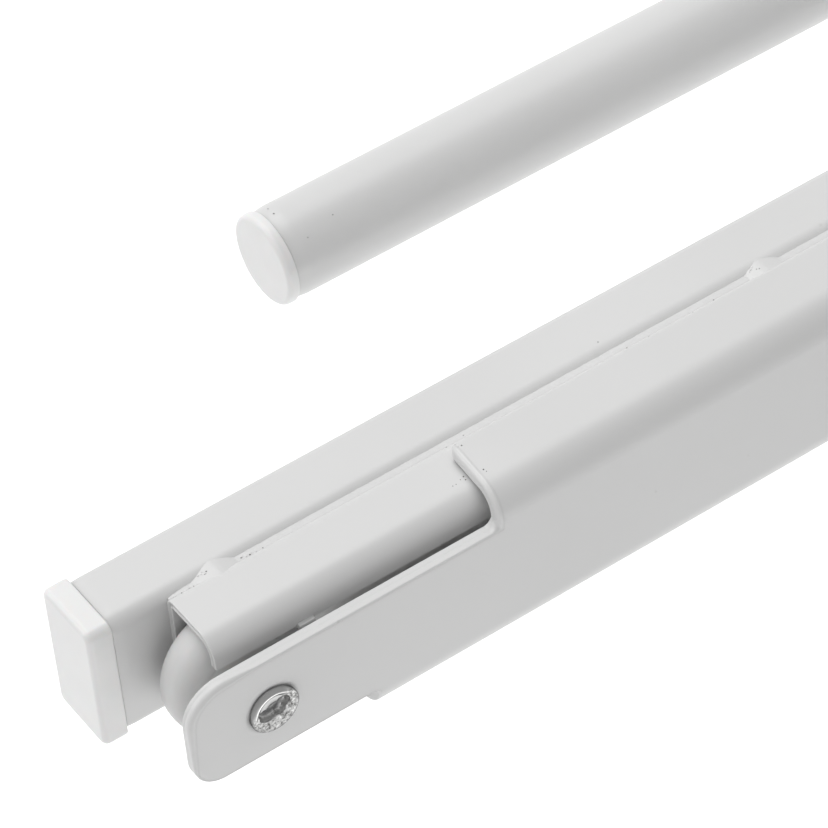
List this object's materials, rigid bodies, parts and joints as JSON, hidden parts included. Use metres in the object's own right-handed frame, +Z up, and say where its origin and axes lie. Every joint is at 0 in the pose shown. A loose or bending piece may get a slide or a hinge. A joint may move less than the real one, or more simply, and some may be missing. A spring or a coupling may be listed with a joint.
{
  "type": "pull-out trouser rack",
  "caption": "Pull-out trouser rack for a wardrobe: welded steel frame with round hanger rods, sliding on roller rails screwed to the side panels.",
  "frame": {"origin": "centre of the whole rack's bounding box when it is pushed in, midway between the wardrobe's side panels, on the height of the cabinet rails' screw holes", "axes": "+X to the right across the wardrobe, +Y into the wardrobe, +Z up; the rack pulls out along -Y"},
  "size_m": [0.714, 0.5048, 0.0262],
  "materials": {
    "tube_paint": "satin white powder coat",
    "rail_paint": "satin white powder coat",
    "cap_plastic": "smooth satin white",
    "roller_plastic": "satin nylon",
    "rivet_steel": "bright zinc, rough where flared"
  },
  "bodies": {
    "cabinet": {"cabinet_rail_left": "rail_paint", "cabinet_rail_right": "rail_paint", "front_axle_left": "rivet_steel", "front_axle_right": "rivet_steel"},
    "rack": {"rack_rail_left": "rail_paint", "rack_rail_right": "rail_paint", "rear_axle_left": "rivet_steel", "rear_axle_right": "rivet_steel", "side_tube_left": "tube_paint", "side_tube_right": "tube_paint", "front_cap_left": "cap_plastic", "front_cap_right": "cap_plastic", "rear_cap_left": "cap_plastic", "rear_cap_right": "cap_plastic", "front_crossbar": "tube_paint", "rear_crossbar": "tube_paint", "rod_1": "tube_paint", "rod_2": "tube_paint", "rod_3": "tube_paint", "rod_4": "tube_paint", "rod_5": "tube_paint", "rod_6": "tube_paint", "rod_7": "tube_paint", "rod_8": "tube_paint", "rod_cap_1": "cap_plastic", "rod_cap_2": "cap_plastic", "rod_cap_3": "cap_plastic", "rod_cap_4": "cap_plastic", "rod_cap_5": "cap_plastic", "rod_cap_6": "cap_plastic", "rod_cap_7": "cap_plastic", "rod_cap_8": "cap_plastic"},
    "front_wheel_left": {"front_roller_left": "roller_plastic"},
    "front_wheel_right": {"front_roller_right": "roller_plastic"},
    "rear_wheel_left": {"rear_roller_left": "roller_plastic"},
    "rear_wheel_right": {"rear_roller_right": "roller_plastic"}
  },
  "joints": [
    {"name": "rack_slide", "type": "slide", "parent": "cabinet", "child": "rack", "axis": [0, -1, 0], "range_m": [0, 0.375]},
    {"name": "front_roller_left_spin", "type": "hinge", "parent": "cabinet", "child": "front_wheel_left", "pos_m": [-0.34725, -0.23575, -0.0005], "axis": [1, 0, 0], "range_deg": [0, 2149]},
    {"name": "front_roller_right_spin", "type": "hinge", "parent": "cabinet", "child": "front_wheel_right", "pos_m": [0.34725, -0.23575, -0.0005], "axis": [1, 0, 0], "range_deg": [0, 2149]},
    {"name": "rear_roller_left_spin", "type": "hinge", "parent": "rack", "child": "rear_wheel_left", "pos_m": [-0.34725, 0.24035, -0.001], "axis": [1, 0, 0], "range_deg": [0, 2149]},
    {"name": "rear_roller_right_spin", "type": "hinge", "parent": "rack", "child": "rear_wheel_right", "pos_m": [0.34725, 0.24035, -0.001], "axis": [1, 0, 0], "range_deg": [0, 2149]}
  ],
  "couplings": [
    {"joint": "front_roller_left_spin", "follows": "rack_slide", "rad_per_m": 100},
    {"joint": "front_roller_right_spin", "follows": "rack_slide", "rad_per_m": 100},
    {"joint": "rear_roller_left_spin", "follows": "rack_slide", "rad_per_m": 100},
    {"joint": "rear_roller_right_spin", "follows": "rack_slide", "rad_per_m": 100}
  ]
}
